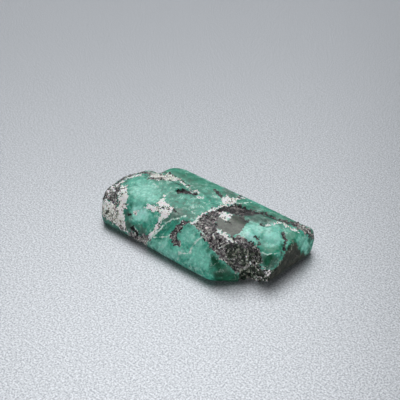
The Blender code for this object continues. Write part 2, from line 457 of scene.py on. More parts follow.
# Lines: half width in mm, then the route.
seenLines = {
    "feldspar": [
        (0.42, [(161, 218.5), (158.8, 223), (156.4, 228), (153, 232.6), (150, 236.6)]),
        (0.42, [(136.4, 211.4), (135.4, 212.6)]),
        (0.17, [(151, 175), (157, 175.4), (163, 175.3), (168, 175.4), (172, 176.6)]),
        (0.14, [(172, 176.6), (178, 180), (183, 183), (188, 186.8), (192, 190)]),
        (0.19, [(191, 222.6), (195, 220.4), (199.4, 216), (203.5, 213), (207.8, 210.8),
                (211, 208.8), (216.6, 208.4), (220, 206.4), (224, 205)]),
        (0.34, [(218.2, 231), (222.5, 233.6), (227, 236.6), (231.5, 240), (235.6, 242.4)]),
        (0.22, [(234, 199.5), (238, 198), (243, 197.4), (245.5, 196.6)]),
        # pink-white glint at the rim of the pit: painted highlight
        (0.22, [(194, 190.4), (197, 191), (199.4, 192.6)]),
        (0.16, [(197.4, 196.4), (202.4, 197.6)]),
        (0.16, [(250, 262), (254, 268)]),
        (0.10, [(246.4, 257), (248.4, 263)]),
        (0.11, [(256, 261), (257.4, 268)]),
        (0.10, [(262, 273.4), (268, 276)]),
        (0.10, [(254, 275.6), (260, 279)]),
        (0.10, [(246, 270), (250, 273.4)]),
        (0.12, [(227, 240.4), (228.6, 242)]),
        (0.12, [(258, 270), (262.6, 277)]),
        (0.11, [(264, 264.6), (266.4, 272)]),
        (0.10, [(255.6, 267), (258, 274)]),
        (0.13, [(268.6, 270.6), (270.4, 274.4)]),
        (0.10, [(262, 280.6), (268, 282.4)]),
        (0.13, [(113, 187.4), (120, 183), (127, 178.6), (134, 175.6), (142, 174)]),
        (0.20, [(107, 190), (109, 195.6)]),
        (0.18, [(104.4, 196.6), (107, 200.6)]),
        (0.16, [(112, 186.6), (115, 189.6)]),
        (0.14, [(109.6, 201), (112.6, 205)]),
        (0.12, [(206, 226), (208.4, 228)]),
        (0.12, [(212, 234), (213.6, 236.6)]),
        (0.12, [(219, 248), (220.6, 249.4)]),
        (0.10, [(230, 258), (234, 261)]),
        (0.18, [(284, 222.8), (287, 225.2), (291, 228), (294.5, 229.8), (300, 230.4)]),
        (0.16, [(266.5, 224.8), (271, 223.9), (275, 223.2), (279.2, 222)]),
    ],
    "vein": [
        (0.15, [(186, 215.4), (180.5, 217.2), (176, 218.6), (171, 219.6), (166.6, 222.6),
                (161.4, 227.6), (156, 233), (151, 237)]),
        (0.09, [(150, 238), (155, 237.4), (160, 236.8), (166, 236.9), (170.5, 234.5)]),
        (0.09, [(150, 238.2), (147, 242.2), (144.8, 247)]),
        (0.04, [(133.6, 226), (136, 229.8), (138.6, 233)]),
        (0.10, [(262.5, 252.4), (265, 253.8), (268, 254.4), (271, 253.6), (275.5, 253.6),
                (280, 252.6)]),
        (0.04, [(236, 203), (243, 202.6), (249, 202), (253, 201.4)]),
        (0.19, [(202, 236.6), (197, 240.4), (193, 245), (190.6, 249), (189.6, 252.8)]),
        (0.16, [(179, 252.6), (184, 253.4), (189.6, 252.8)]),
        (0.09, [(178, 248), (178.6, 254), (177.4, 260)]),
        (0.14, [(196, 222.6), (199, 226.6), (203.4, 235)]),
    ],
    "mica": [
        (0.62, [(173, 236), (175, 232), (178, 228.6), (180, 226.8)]),
        (0.45, [(132.6, 228), (136, 233), (139.4, 238.6)]),
        # black in the pit, these two lines: dark mica and painted shade in the pit
        (0.55, [(179, 191), (184, 190.8)]),
        (0.35, [(184, 191), (190, 192.6), (196, 194)]),
        (0.25, [(215, 189.2), (217.5, 191.6), (220.4, 194.4), (222.5, 197.6)]),
        (0.20, [(239, 196.2), (243.6, 197)]),
        # black crack beside the emerald knob: dark mica and painted shade in the crack
        (0.30, [(282.6, 232), (284.2, 236), (285, 240), (285.2, 244), (284.2, 249.6)]),
        (0.28, [(256.5, 236), (259, 240), (259.5, 244)]),
        (0.17, [(246.8, 219.8), (248.4, 220.4)]),
        (0.20, [(261, 224.2), (263.6, 225)]),
        (0.26, [(226, 220.6), (231, 222.8)]),
        (0.16, [(240, 216.4), (247, 220.4)]),
        # black spot at the bottom of the hollow: painted shade
        (0.50, [(233, 250.5), (236.5, 252.5)]),
        (0.30, [(109.5, 197.4), (113.5, 195.6)]),
        (0.34, [(111.4, 199), (114.4, 206)]),
        (0.36, [(102.6, 193.6), (103.6, 191.6)]),
        (0.22, [(129, 214), (130.6, 215)]),
        (0.22, [(173.5, 209.6), (177, 212.6)]),
        (0.18, [(211, 207.6), (215, 208.4)]),
        (0.11, [(156, 172.6), (163, 171.6), (170, 173), (176, 177), (183, 181.4), (190, 186)]),
        (0.10, [(160, 178.6), (168, 178.4), (175, 181.4), (181, 185)]),
    ],
    "schist": [
        (0.25, [(149, 177.4), (155, 178), (161, 178.4), (166, 178)]),
        (0.34, [(104, 191.6), (112, 185.6), (120, 180.4), (127, 176), (134, 173), (142, 171.6),
                (150, 172.6)]),
        (0.46, [(171.5, 237), (174, 231.5), (177, 227.6), (181, 224), (186, 221.6), (191, 221.8),
                (196, 223.6)]),
    ],
    "dull_and_painted_shade": [
        (0.40, [(100.5, 213), (106, 222), (112, 228.3), (120, 232.8), (127, 238)]),
        (0.35, [(118.5, 190.5), (121, 186.5)]),
        (0.30, [(108, 188), (117, 181), (128, 174), (138, 170.4)]),
        (0.45, [(150, 171.6), (158, 172.4), (166, 172.6)]),
    ],
}

# On the sides that the photograph doesn't show: centre, then half sizes, in mm.
hiddenPatches = {
    "schist": [
        ((-3.4, 11.0, 3.6), (3.6, 2.2, 2.6)), ((-1.4, 11.2, 1.6), (3.0, 2.2, 1.8)),
        ((-14.6, 6.6, 4.4), (2.2, 2.4, 2.0)), ((16.0, 12.0, 2.2), (3.4, 2.0, 1.6)),
        ((-10.0, 3.0, 0.0), (4.6, 2.4, 0.9)), ((-6.0, -1.0, 0.0), (4.0, 1.8, 0.9)),
        ((8.0, -4.4, 0.0), (5.0, 2.2, 0.9)), ((12.4, -6.4, 0.0), (3.0, 1.8, 0.9)),
        ((15.4, 6.4, 0.0), (3.4, 1.6, 0.9)), ((-21.6, 2.6, 2.4), (2.2, 2.4, 1.4)),
    ],
    "feldspar": [
        ((-18.8, 5.2, 4.0), (1.8, 1.8, 1.4)), ((4.6, 11.4, 4.4), (1.8, 1.6, 0.9)),
        ((-2.4, 3.4, 0.0), (2.6, 1.0, 0.8)), ((18.0, -2.0, 0.0), (1.6, 2.0, 0.8)),
        ((-15.0, -6.0, 0.0), (2.2, 1.2, 0.8)),
    ],
    "mica": [
        ((-5.2, 11.4, 4.6), (1.6, 1.6, 0.6)), ((10.0, -3.4, 0.0), (1.4, 0.8, 0.6)),
        ((23.4, 3.4, 1.6), (1.4, 2.4, 1.0)),
    ],
    "dull_and_painted_shade": [
        ((0.6, 11.6, 2.4), (4.4, 2.0, 2.2)), ((11.0, 11.8, 4.0), (3.4, 2.0, 1.4)),
        ((-17.4, 6.4, 2.0), (3.0, 2.6, 2.0)), ((20.0, 12.0, 3.6), (3.0, 2.0, 2.0)),
        ((3.0, 2.0, 0.0), (6.0, 3.0, 1.0)),
    ],
    "deep": [
        ((7.0, 12.0, 1.8), (4.0, 2.0, 1.6)), ((22.6, 9.6, 2.0), (2.0, 2.6, 1.6)),
        ((-16.0, 0.0, 0.0), (3.6, 4.0, 1.0)), ((3.0, -8.6, 0.0), (4.6, 2.6, 1.0)),
    ],
    "pale_and_painted_highlight": [
        ((13.0, 12.0, 2.0), (2.6, 1.6, 1.2)), ((-9.6, 8.6, 4.6), (2.4, 1.8, 1.4)),
    ],
    "quartz": [
        ((-8.6, 9.6, 2.2), (2.2, 1.8, 1.2)), ((19.4, 4.6, 0.0), (2.4, 1.6, 0.8)),
    ],
    "teal_and_painted_shade": [((6.0, 11.6, 4.0), (12.0, 2.6, 2.6)), ((23.0, 8.0, 3.0), (1.6, 3.6, 2.0))],
    "milky_and_painted_light": [((-12.0, 7.6, 3.6), (3.4, 2.0, 1.8)), ((9.0, 11.4, 2.4), (3.0, 2.0, 1.4)),
              ((-8.0, -6.0, 0.0), (4.0, 2.0, 0.9))],
    "chlorite": [((9.0, -5.0, 0.0), (3.0, 2.0, 0.9)), ((-3.0, 11.0, 2.0), (2.6, 1.8, 1.2))],
    "vein": [],
    "gritty": [((-18.8, 4.2, 3.0), (1.8, 1.6, 1.2))],
    "stain": [((-2.0, 11.4, 2.6), (2.4, 1.8, 1.4)), ((7.6, -5.2, 0.0), (2.6, 1.6, 0.9))],
}

# How uneven the edges are, in mm, on a pattern of this size, in mm.
edges = {
    "feldspar": (0.16, 0.55),
    "schist": (0.30, 0.90),
    "chlorite": (0.40, 1.00),
    "quartz": (0.22, 1.00),
    "mica": (0.20, 0.60),
    "teal_and_painted_shade": (0.40, 1.60),
    "dull_and_painted_shade": (0.60, 1.60),
    "deep": (0.70, 1.80),
    "pale_and_painted_highlight": (0.60, 1.80),
    "milky_and_painted_light": (0.50, 1.20),
    "vein": (0.06, 0.50),
    "gritty": (0.30, 0.80),
    "stain": (0.30, 1.20),
}

sighting = {
    "taper": 0.7,     # a patch thins by this much per mm behind the seen surface
    "slack": 0.35,    # mm behind the seen surface that still counts as seen
    "deepest": 3.0,   # mm, depths beyond this are clipped
    "bend": (2.2, 2.6),   # mm, how far hidden patches are bent, on a pattern of this size
    "above": 12.0,    # mm over the floor, where each line of sight is picked up
    "stride": 0.9,    # share of the free distance gone at each step
    "steps": 60,
    "finer": (0.5, 2.3),   # a second unevenness on the edges: its strength, and how much finer
}


def outlineDepth(pixels, outline):
    # distance to the nearest side of a closed outline, positive inside, in pixels
    corners = np.array(outline, float)
    nearest = np.full(len(pixels), 1e9)
    inside = np.zeros(len(pixels), bool)
    for start, end in zip(corners, np.roll(corners, -1, axis=0)):
        nearest = np.minimum(nearest, lineDistance(pixels, start, end))
        crosses = (start[1] > pixels[:, 1]) != (end[1] > pixels[:, 1])
        rise = end[1] - start[1]
        slant = (end[0] - start[0]) / (rise if rise else 1.0)
        inside ^= crosses & (pixels[:, 0] < start[0] + slant * (pixels[:, 1] - start[1]))
    return np.where(inside, nearest, -nearest)


def routeDistance(points, route):
    # distance to the nearest of the straight pieces that make up a bent line
    pieces = [lineDistance(points, start, end) for start, end in zip(route, route[1:])]
    return np.minimum.reduce(pieces)


def behindSurface(points):
    # how far behind the first stone on its line of sight each point lies, in mm
    eye = cameraPlace()
    away = points - eye
    distance = np.linalg.norm(away, axis=1)
    ray = away / distance[:, None]
    reached = (eye[2] - sighting["above"]) / -ray[:, 2]
    for step in range(sighting["steps"]):
        free = np.maximum(stoneField(eye + reached[:, None] * ray), 0.0)
        reached = reached + free * sighting["stride"]
    return np.maximum(distance - reached - sighting["slack"], 0.0)


def mineralDepths(points):
    # for each mineral, how deep each point lies inside its nearest patch, in mm
    pixels = toPixels(points)
    loss = sighting["taper"] * behindSurface(points)
    bent = points + sighting["bend"][0] * np.stack(
        [hills(points, sighting["bend"][1], 61 + axis) for axis in range(3)], axis=1)
    strength, finer = sighting["finer"]
    depths = {}
    for salt, (mineral, (uneven, size)) in enumerate(edges.items()):
        depth = np.full(len(points), -sighting["deepest"])
        for outline in seenPatches.get(mineral, []):
            seen = outlineDepth(pixels, outline) * photo["mmPerPixel"] - loss
            depth = np.maximum(depth, seen)
        for half, route in seenLines.get(mineral, []):
            seen = half - routeDistance(pixels, route) * photo["mmPerPixel"] - loss
            depth = np.maximum(depth, seen)
        for centre, reach in hiddenPatches[mineral]:
            depth = np.maximum(depth, eggDepth(bent, centre, reach))
        ragged = hills(points, size, salt) + strength * hills(points, size / finer, salt + 20)
        depths[mineral] = np.clip(depth + uneven * ragged, -sighting["deepest"], sighting["deepest"])
    return depths


# The finished surface: a grid of rays from a flat core out to the stone, closed underneath

surface = {
    "columns": 384,             # cells along the stone
    "rows": 232,                # cells across it
    "core": (18.0, 6.5, 3.4),   # mm, half length, half width and height of the core
    "side": 11.0,               # mm of surface given to each side
    "lean": 142.0,              # degrees, how far the outermost rays lean over
    "start": 16.0,              # mm from the core, where the rays come in from
    "stride": 0.9,              # share of the free distance gone at each step
    "steps": 70,
    "baseRings": 5,
}

relief = {
    "inset": 0.12,               # mm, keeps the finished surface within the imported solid
    "swell": (0.10, 5.0),        # mm high, mm across, over the whole stone
    "ripple": (0.035, 1.4),      # faint unevenness of the tumbled faces
    "pits": (0.10, 2.4, 0.22),   # mm deep, mm apart, share of a cell that a pit fills
    "pitted": (0.45, 0.10),      # cells with a lower value have no pit; width of a pit's lip
    "schistWear": 0.20,          # mm lower than the emerald
    "schistGrain": (0.13, 0.62),   # mm high, mm across
    "grainHeights": (1.6, 0.3),  # spread of the grains' heights, and how low the lowest lies
    "schistLumps": (0.14, 1.5),
    "micaWear": 0.24,
    "micaInSchist": 0.4,         # share of that where the mica lies in schist
    "feldsparGrain": (0.07, 0.40),
    "veinRise": 0.03,
    "veinEdge": 0.2,
    "edge": 0.5,                 # mm over which the ground drops
}


def raysFromCore(share, half):
    # along one axis: the start runs to the end of the core, then the ray leans over
    travelled = np.abs(share) * (half + surface["side"])
    start = np.minimum(travelled, half) * np.sign(share)
    lean = np.maximum(travelled - half, 0.0) / surface["side"] * surface["lean"]
    return start, np.radians(lean) * np.sign(share)


def gridOfRays():
    # two parameters, along and across; the larger lean is kept and its bearing is that of both
    halfLength, halfWidth, height = surface["core"]
    along = np.linspace(-1.0, 1.0, surface["columns"] + 1)
    across = np.linspace(-1.0, 1.0, surface["rows"] + 1)
    startX, leanX = raysFromCore(along, halfLength)
    startY, leanY = raysFromCore(across, halfWidth)
    x, y = [part.ravel() for part in np.meshgrid(startX, startY)]
    leansX, leansY = [part.ravel() for part in np.meshgrid(leanX, leanY)]
    lean = np.maximum(np.abs(leansX), np.abs(leansY))
    both = np.maximum(np.hypot(leansX, leansY), 1e-9)
    starts = np.stack([x, y, np.full(len(x), height)], axis=1)
    level = np.sin(lean) / both
    rays = np.stack([level * leansX, level * leansY, np.cos(lean)], axis=1)
    return starts, rays


def ontoStone(starts, rays):
    # come in along each ray from outside by the distance that the field says is free
    reached = np.full(len(starts), surface["start"])
    for step in range(surface["steps"]):
        free = stoneField(starts + reached[:, None] * rays)
        reached = np.maximum(reached - free * surface["stride"], 0.0)
    return starts + reached[:, None] * rays


def stepUp(depth, width):
    # 0 outside a patch, 1 inside, over this width
    share = np.clip(depth / width, 0.0, 1.0)
    return share * share * (3.0 - 2.0 * share)


def reliefHeight(points, depths):
    # swell and ripple everywhere, rough worn schist, sunken mica, grainy feldspar, small pits
    height = relief["swell"][0] * hills(points, relief["swell"][1], 31) - relief["inset"]
    height += relief["ripple"][0] * hills(points, relief["ripple"][1], 32)
    schist, mica, feldspar, quartz = [stepUp(depths[mineral], relief["edge"])
                                      for mineral in ("schist", "mica", "feldspar", "quartz")]
    schist = schist * (1.0 - quartz)
    rough, size = relief["schistGrain"]
    nearest, value = grains(points, size, 41)
    spread, lowest = relief["grainHeights"]
    grain = rough * (spread * value - lowest - nearest)
    lumps = relief["schistLumps"][0] * hills(points, relief["schistLumps"][1], 33)
    height += schist * (grain + lumps - relief["schistWear"])
    height -= mica * (1.0 - (1.0 - relief["micaInSchist"]) * schist) * relief["micaWear"]
    height += feldspar * relief["feldsparGrain"][0] * hills(points, relief["feldsparGrain"][1], 34)
    height += stepUp(depths["vein"], relief["veinEdge"]) * relief["veinRise"]
    deep, apart, fill = relief["pits"]
    least, lip = relief["pitted"]
    nearest, value = grains(points, apart, 51)
    green = (1.0 - schist) * (1.0 - feldspar)
    height -= green * deep * (value > least) * stepUp(fill * value - nearest, lip)
    return height


def rimOrder():
    # numbers of the grid's edge points, once round
    number = np.arange((surface["rows"] + 1) * (surface["columns"] + 1))
    number = number.reshape(surface["rows"] + 1, surface["columns"] + 1)
    return np.concatenate([number[0, :-1], number[:-1, -1], number[-1, :0:-1], number[:0:-1, 0]])


def stoneFaces(pointCount):
    # quads over the grid, rings of quads under it, and a fan at the middle of the base
    columns = surface["columns"] + 1
    first = (np.arange(surface["rows"])[:, None] * columns + np.arange(surface["columns"])).ravel()
    quads = np.stack([first, first + 1, first + columns + 1, first + columns], axis=1)
    ring = rimOrder()
    sheets = [quads]
    for number in range(surface["baseRings"]):
        inner = pointCount + number * len(ring) + np.arange(len(ring))
        sheets.append(np.stack([np.roll(ring, -1), ring, inner, np.roll(inner, -1)], axis=1))
        ring = inner
    middle = np.full(len(ring), pointCount + surface["baseRings"] * len(ring))
    fan = np.stack([np.roll(ring, -1), ring, middle], axis=1)
    return np.concatenate(sheets).tolist() + fan.tolist()


def basePoints(points):
    # the rim drawn in towards the middle of the base in equal steps, all flat
    rim = points[rimOrder()]
    steps = [rim * np.array([share, share, 0.0])
             for share in 1.0 - np.arange(1, surface["baseRings"] + 1) / (surface["baseRings"] + 1)]
    return np.concatenate(steps + [np.zeros((1, 3))])


def newMesh(name, points, faces, smooth):
    # an object at the origin, from points in mm and lists of their numbers
    mesh = bpy.data.meshes.new(name)
    mesh.from_pydata((points * mm).tolist(), [], faces)
    mesh.update()
    mesh.polygons.foreach_set("use_smooth", np.full(len(mesh.polygons), smooth))
    made = bpy.data.objects.new(name, mesh)
    bpy.context.scene.collection.objects.link(made)
    return made


def storeValues(piece, name, values):
    # one number at each point, which the materials read by this name
    attribute = piece.data.attributes.new(name, "FLOAT", "POINT")
    attribute.data.foreach_set("value", values.astype(np.float32))


def makeStone():
    # rays onto the field, moved along the normal by the relief, then closed underneath
    starts, rays = gridOfRays()
    points = ontoStone(starts, rays)
    normals = slopeOf(points)
    depths = mineralDepths(points)
    points = points + normals * reliefHeight(points, depths)[:, None]
    points[:, 2] = np.maximum(points[:, 2], 0.0)
    ring = rimOrder()
    points[ring, 2] = 0.0
    inner = basePoints(points)
    innerDepths = mineralDepths(inner)
    stone = newMesh("emerald_stone", np.concatenate([points, inner]), stoneFaces(len(points)), True)
    for mineral in edges:
        storeValues(stone, mineral, np.concatenate([depths[mineral], innerDepths[mineral]]))
    print("stone:", len(stone.data.polygons), "faces")
    return stone, points, normals, depths


stone, stonePoints, stoneNormals, stoneDepths = makeStone()


# Grains that stand in the schist: thin mica plates and angular feldspar crumbs

plates = {
    "count": 1500,
    "radius": (0.12, 0.30),     # mm
    "narrow": (0.5, 1.0),       # width as a share of the length
    "thickness": (0.03, 0.07),
    "under": 0.92,              # the lower face as a share of the upper one
    "inMica": (0.6, 0.3),       # how thickly they stand in the mica, and mm to get there
    "tilt": 0.7,                # 0 lies flat on the surface, 1 leans up to 45 degrees
    "inset": 0.05,              # mm below the surface
    "seed": 11,
}
crumbs = {
    "count": 1000,
    "radius": (0.06, 0.23),
    "top": 0.7,                 # the upper face as a share of the lower one
    "inChlorite": 0.3,          # how thickly they stand in the chlorite
    "tilt": 1.0,
    "inset": 0.03,
    "seed": 12,
}
grainGround = {
    "quartz": -0.1,             # mm, grains keep this far off the quartz and the feldspar
    "feldspar": -0.2,
    "foot": 0.4,                # mm over the floor, none stands lower
    "edge": 0.4,                # mm inside a patch before they stand at their thickest
    "floor": 0.02,              # mm, no corner of a grain reaches below
}


def leaningAxes(random, normals, tilt):
    # the normal pushed aside at random, and two directions square to it
    up = normals + tilt * random.uniform(-1.0, 1.0, normals.shape)
    up /= np.linalg.norm(up, axis=1, keepdims=True)
    side = np.cross(up, random.normal(size=normals.shape))
    side /= np.linalg.norm(side, axis=1, keepdims=True)
    return side, np.cross(up, side), up


def inPatch(mineral):
    # 0 outside the mineral's patches, rising to 1 inside them
    return stepUp(stoneDepths[mineral], grainGround["edge"])


def setGrains(name, looks, thickness, shape, faces, drawSizes):
    # points of the stone picked by chance, more where the thickness is higher;
    # each copy = its spot + the shape's three coordinates along the copy's own axes
    random = np.random.default_rng(looks["seed"])
    clear = ((stoneDepths["quartz"] < grainGround["quartz"])
             & (stoneDepths["feldspar"] < grainGround["feldspar"])
             & (stonePoints[:, 2] > grainGround["foot"]))
    weight = thickness * clear
    chosen = random.choice(len(weight), size=looks["count"], replace=False, p=weight / weight.sum())
    normals = stoneNormals[chosen]
    spots = stonePoints[chosen] - normals * looks["inset"]
    sizes = drawSizes(random)
    points = np.zeros((len(spots), len(shape), 3))
    for column, axis in enumerate(leaningAxes(random, normals, looks["tilt"])):
        points += (shape[None, :, column] * sizes[column][:, None])[:, :, None] * axis[:, None, :]
    points = (points + spots[:, None, :]).reshape(-1, 3)
    points[:, 2] = np.maximum(points[:, 2], grainGround["floor"])
    copies = [[corner + number * len(shape) for corner in face]
              for number in range(len(spots)) for face in faces]
    made = newMesh(name, points, copies, False)
    storeValues(made, "shade", np.repeat(random.uniform(size=len(spots)), len(shape)))
    return made


def makePlates():
    # a six-sided plate: two hexagons and the band between them
    share, edge = plates["inMica"]
    thickness = np.maximum(inPatch("schist"), share * stepUp(stoneDepths["mica"], edge))
    turn = np.arange(6) * math.pi / 3
    ring = np.stack([np.cos(turn), np.sin(turn)], axis=1)
    shape = np.concatenate([np.c_[ring, np.ones(6)], np.c_[ring * plates["under"], -np.ones(6)]])
    faces = [[0, 1, 2, 3, 4, 5], [11, 10, 9, 8, 7, 6]]
    faces += [[k, k + 6, (k + 1) % 6 + 6, (k + 1) % 6] for k in range(6)]

    def drawSizes(random):
        radius = random.uniform(*plates["radius"], plates["count"])
        return (radius, radius * random.uniform(*plates["narrow"], plates["count"]),
                random.uniform(*plates["thickness"], plates["count"]))

    return setGrains("mica_plates", plates, thickness, shape, faces, drawSizes)


def makeCrumbs():
    # an eight-cornered block with its top drawn in
    thickness = inPatch("schist") * (1.0 - (1.0 - crumbs["inChlorite"]) * inPatch("chlorite"))
    square = np.array([(-1, -1), (1, -1), (1, 1), (-1, 1)], float)
    shape = np.concatenate([np.c_[square, -np.ones(4)], np.c_[square * crumbs["top"], np.ones(4)]])
    faces = [[3, 2, 1, 0], [4, 5, 6, 7]]
    faces += [[k, (k + 1) % 4, (k + 1) % 4 + 4, k + 4] for k in range(4)]

    def drawSizes(random):
        return [random.uniform(*crumbs["radius"], crumbs["count"]) for axis in range(3)]

    return setGrains("feldspar_crumbs", crumbs, thickness, shape, faces, drawSizes)


micaPlates = makePlates()
feldsparCrumbs = makeCrumbs()
print("grains:", plates["count"], "plates,", crumbs["count"], "crumbs")


# Materials

def linear(hexCode):
    # sRGB hex to the linear values that the shader takes
    values = [int(hexCode[place:place + 2], 16) / 255 for place in (1, 3, 5)]
    curved = [value / 12.92 if value <= 0.04045 else ((value + 0.055) / 1.055) ** 2.4
              for value in values]
    return (*curved, 1.0)


def add(tree, kind, sockets=None, stops=None, **settings):
    # one node: its settings, its sockets (a value or a link), and its colour stops if it has any
    made = tree.nodes.new("ShaderNode" + kind)
    for name, value in settings.items():
        setattr(made, name, value)
    for socket, value in (sockets or {}).items():
        if isinstance(value, bpy.types.NodeSocket):
            tree.links.new(value, made.inputs[socket])
        else:
            made.inputs[socket].default_value = value
    if stops:
        ramp = made.color_ramp
        while len(ramp.elements) < len(stops):
            ramp.elements.new(0.5)
        for element, (place, colour) in zip(ramp.elements, stops):
            element.position = place
            element.color = linear(colour)
    return made


def newMaterial(name, **values):
    material = bpy.data.materials.new(name)
    material.use_nodes = True
    shader = material.node_tree.nodes["Principled BSDF"]
    for socket, value in values.items():
        shader.inputs[socket.replace("_", " ")].default_value = value
    return material, material.node_tree, shader


def perMetre(size):
    # a pattern's scale, from the size of one of its cells in mm
    return 1.0 / (size * mm)


# Emerald is beryl, cloudy with fractures and inclusions, worn to a satin gloss in a tumbler. The
# eye gets milky mint and teal clouds, paler cracks, and a soft highlight along rounded edges.
emerald = {
    "cloudSize": 9.0,             # mm
    "cloud": [(0.30, "#1C7A63"), (0.44, "#33967E"), (0.56, "#4DB29A"), (0.72, "#70D0B9")],
    "wander": (2.6, 1.0),         # mm across, mm aside: the finer patterns are bent by this
    "marbleSize": 1.7,
    "marbleDark": ("#27695A", 0.50, 0.34, 0.75),    # colour, where it starts, where full, share
    "marbleLight": ("#96DAC9", 0.54, 0.70, 0.80),
    "mottleSize": 0.55,           # finer than the marbling, the grain of the cloudy stone
    "mottle": (0.87, 1.27),       # how dark and how bright it goes
    "crackSizes": (4.2, 1.9),
    "crackWidth": 0.018,          # share of the noise's height
    "crackBroken": (0.44, 0.60, 0.85),   # marbling where cracks start, where full, their share
    "crackInPatches": 0.6,        # share of a crack that shows in the darker and paler patches
    "crack": "#CDE9DF",
    "speckSize": 0.45,
    "specks": (0.93, 0.95, 0.55),        # one cell in fifteen or so, and how dark it is
    "speck": "#3D5C50",
    "roughness": 0.44,
    "ior": 1.58,
    "polish": 0.28,               # the worn skin mirrors less than a cut stone, which has 0.5
    "milkiness": 0.45,            # share of light that goes under the surface
    "milkDepth": 0.0025,          # m
    "milkReach": (0.5, 1.0, 0.8),     # red is taken up soonest, green goes furthest
    "bump": (0.35, 0.12),         # strength, and mm of height
}

# What each mineral looks like, in the order in which they are laid over each other.
# edge: softness and fine unevenness in mm, and the unevenness's size in mm
# size or grain: mm, of its clouding, or of its single grains where it is granular
# The green ones are shades of the emerald itself; where the stone is seen, the pale ones are
# also painted highlight, the milky ones partly painted light on the front and the top face, and
# the teal, dull and deep ones partly painted shade on faces turned from the light. Schist is
# black biotite and silvery mica with feldspar between, so the eye gets pepper and salt on purple
# grey. Quartz is smooth and grey, chlorite a flaky grey green, fresh feldspar chalky white.
# Gritty feldspar is weathered and full of dark dust, and the stain is a brown skin of chlorite
# and iron on the right end.
minerals = {
    "teal_and_painted_shade": {"edge": (0.80, 2.00, 1.6), "size": 1.8, "roughness": 0.42, "green": True,
             "shades": [(0.30, "#13634B"), (0.50, "#23876C"), (0.74, "#45A88C")]},
    "dull_and_painted_shade": {"edge": (0.70, 1.80, 1.5), "size": 1.3, "roughness": 0.46, "green": True,
             "shades": [(0.30, "#35564A"), (0.50, "#52766A"), (0.72, "#86A497")]},
    "deep": {"edge": (1.00, 2.20, 1.6), "size": 1.6, "roughness": 0.38, "green": True,
             "shades": [(0.30, "#123F2C"), (0.52, "#1F5C45"), (0.75, "#2F8065")]},
    "pale_and_painted_highlight": {"edge": (1.20, 2.40, 1.5), "size": 1.8, "roughness": 0.40, "green": True,
             "shades": [(0.30, "#96E4D3"), (0.52, "#B0F2E4"), (0.75, "#D2FDF4")]},
    "milky_and_painted_light": {"edge": (1.00, 3.00, 1.1), "size": 0.9, "roughness": 0.46, "green": True,
              "shades": [(0.30, "#6CBEAA"), (0.50, "#83D1BE"), (0.74, "#B3EBDE")]},
    "quartz": {"edge": (0.10, 0.60, 1.0), "size": 2.2, "roughness": 0.36,
               "shades": [(0.30, "#363C36"), (0.52, "#525A50"), (0.80, "#747B70")]},
    "mica": {"edge": (0.10, 0.90, 0.6), "grain": 0.30, "roughness": 0.55,
             "shades": [(0.00, "#101011"), (0.35, "#1F1F20"), (0.62, "#2A292A"),
                        (0.85, "#454344"), (0.97, "#77736F")]},
    "schist": {"edge": (0.08, 1.40, 0.8), "grain": 0.34, "roughness": 0.50,
               "shades": [(0.00, "#19171A"), (0.25, "#2F2B2F"), (0.48, "#585156"),
                          (0.68, "#787075"), (0.84, "#8B8687"), (0.93, "#C9C6C1")]},
    "chlorite": {"edge": (0.30, 1.80, 1.2), "grain": 0.34, "roughness": 0.50,
                 "shades": [(0.00, "#0E130F"), (0.30, "#1F2921"), (0.55, "#39463A"),
                            (0.76, "#525D4E"), (0.94, "#A3AA9B")]},
    "feldspar": {"edge": (0.06, 1.00, 0.6), "grain": 0.26, "roughness": 0.60,
                 "shades": [(0.00, "#3A443D"), (0.08, "#8B8D82"), (0.15, "#CFCEC2"),
                            (0.28, "#F6F8F2"), (0.50, "#FFFFFF")]},
    "vein": {"edge": (0.08, 0.50, 0.6), "size": 0.8, "roughness": 0.50,
             "shades": [(0.35, "#A9D3C4"), (0.60, "#E3F1EA")]},
    "gritty": {"edge": (0.08, 1.40, 0.7), "grain": 0.28, "roughness": 0.58,
               "shades": [(0.00, "#42463F"), (0.14, "#81837A"), (0.30, "#BAB9AE"),
                          (0.52, "#E0DFD7"), (0.80, "#FAFAF5")]},
    "stain": {"edge": (0.30, 1.80, 1.0), "size": 1.1, "roughness": 0.46,
              "shades": [(0.34, "#2C302B"), (0.50, "#3B3E37"), (0.66, "#55554B")]},
}
clusters = (1.2, 2.2)   # grains of a kind keep together: mm across, and how strongly


